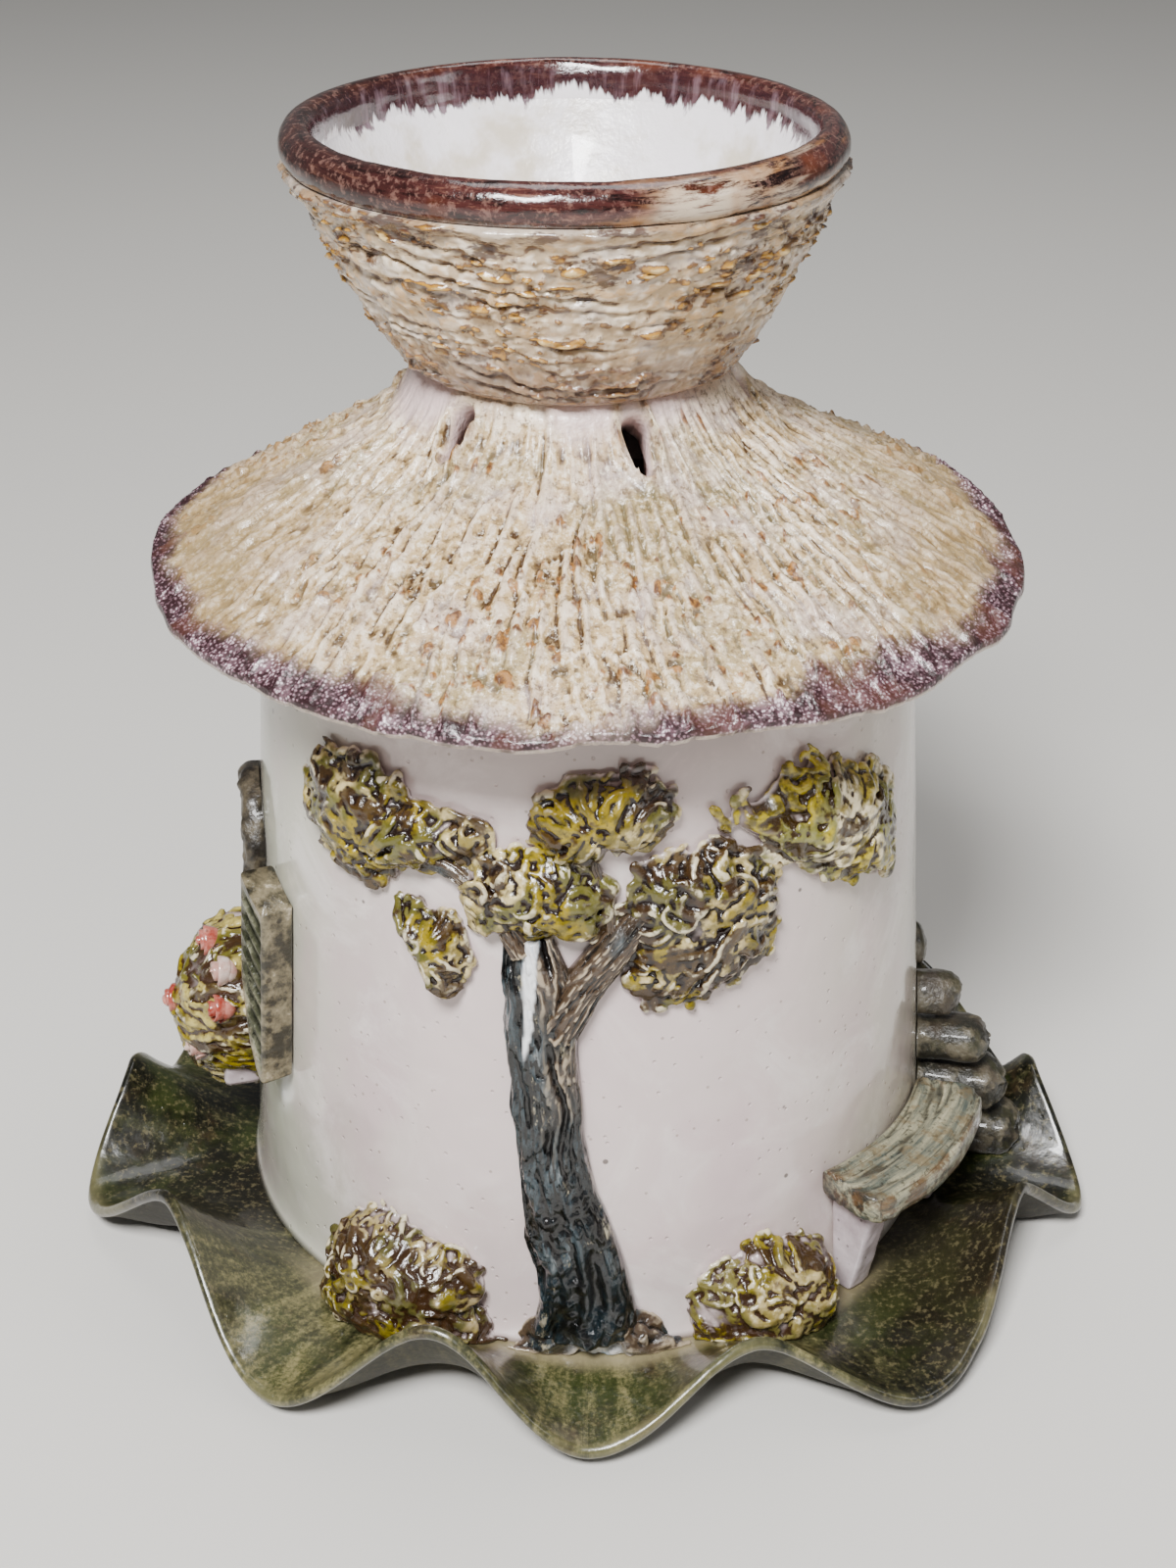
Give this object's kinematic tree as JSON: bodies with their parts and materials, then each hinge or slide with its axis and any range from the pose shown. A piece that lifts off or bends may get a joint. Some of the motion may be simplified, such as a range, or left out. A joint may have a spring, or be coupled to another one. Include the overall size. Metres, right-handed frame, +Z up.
{
  "type": "house tea light holder",
  "caption": "Tea light holder shaped as a round thatched cottage in glazed pottery, with a ruffled foot, a tree and bushes on its wall, and a bowl on its lift-off roof.",
  "frame": {"origin": "On the axis of the round wall, at the height of the table that the holder stands on.", "axes": "+Z up. -Y is the front, with the tree. +X is to the right as seen from the front, where the bench is."},
  "size_m": [0.1855, 0.1795, 0.1973],
  "materials": {
    "white_glaze": "glossy white glaze with a lilac tint",
    "green_glaze": "glossy olive green glaze with brown streaks",
    "thatch_glaze": "cream glaze over combed clay, manganese purple at the eave",
    "bowl_glaze": "cream and ochre glaze over coiled clay",
    "rim_glaze": "glossy aubergine brown glaze",
    "bark_glaze": "glossy blue-black glaze with brown streaks",
    "leaf_glaze": "cream, olive and mustard glaze over pressed clay strands",
    "stone_glaze": "grey-brown glaze",
    "bench_glaze": "grey-green glaze with blue lines",
    "shutter_glaze": "mottled grey-brown glaze",
    "rose_glaze": "coral pink glaze",
    "foil": "bright drawn sheet",
    "wax": "paraffin wax",
    "cotton": "braided cotton"
  },
  "bodies": {
    "house": {"base_saucer": "green_glaze", "wall": "white_glaze", "tree_trunk": "bark_glaze", "tree_limb_right": "bark_glaze", "tree_limb_left": "bark_glaze", "tree_twig": "bark_glaze", "tree_roots": "bark_glaze", "foliage_far_left": "leaf_glaze", "foliage_top": "leaf_glaze", "foliage_centre": "leaf_glaze", "foliage_low_left": "leaf_glaze", "foliage_right": "leaf_glaze", "foliage_far_right": "leaf_glaze", "bush_left": "leaf_glaze", "bench_seat": "bench_glaze", "bench_leg_front": "white_glaze", "bench_leg_back": "white_glaze", "bush_right": "leaf_glaze", "door_stone_1": "stone_glaze", "door_stone_2": "stone_glaze", "door_stone_3": "stone_glaze", "door_stone_4": "stone_glaze", "door_stone_5": "stone_glaze", "door_stone_6": "stone_glaze", "door_stone_7": "stone_glaze", "door_stone_8": "stone_glaze", "door_stone_9": "stone_glaze", "door_stone_10": "stone_glaze", "door_stone_11": "stone_glaze", "door_stone_12": "stone_glaze", "door_stone_13": "stone_glaze", "window_hood": "stone_glaze", "shutter_near": "shutter_glaze", "shutter_far": "shutter_glaze", "flower_box": "white_glaze", "rose_bush": "leaf_glaze", "rose_1": "rose_glaze", "rose_2": "rose_glaze", "rose_3": "rose_glaze", "rose_4": "rose_glaze", "rose_5": "rose_glaze"},
    "roof": {"thatch_roof": "thatch_glaze", "roof_locating_ring": "white_glaze", "bowl": "bowl_glaze", "bowl_rim": "rim_glaze"},
    "tea_light": {"tea_light_cup": "foil", "tea_light_wax": "wax", "wick_tab": "foil", "wick": "cotton"}
  },
  "joints": [
    {"name": "roof_lift", "type": "slide", "parent": "house", "child": "roof", "axis": [0, 0, 1], "range_m": [0, 0.08]},
    {"name": "tea_light_slide", "type": "slide", "parent": "house", "child": "tea_light", "axis": [0.9214, 0.3354, 0.1961], "range_m": [0, 0.087]}
  ]
}
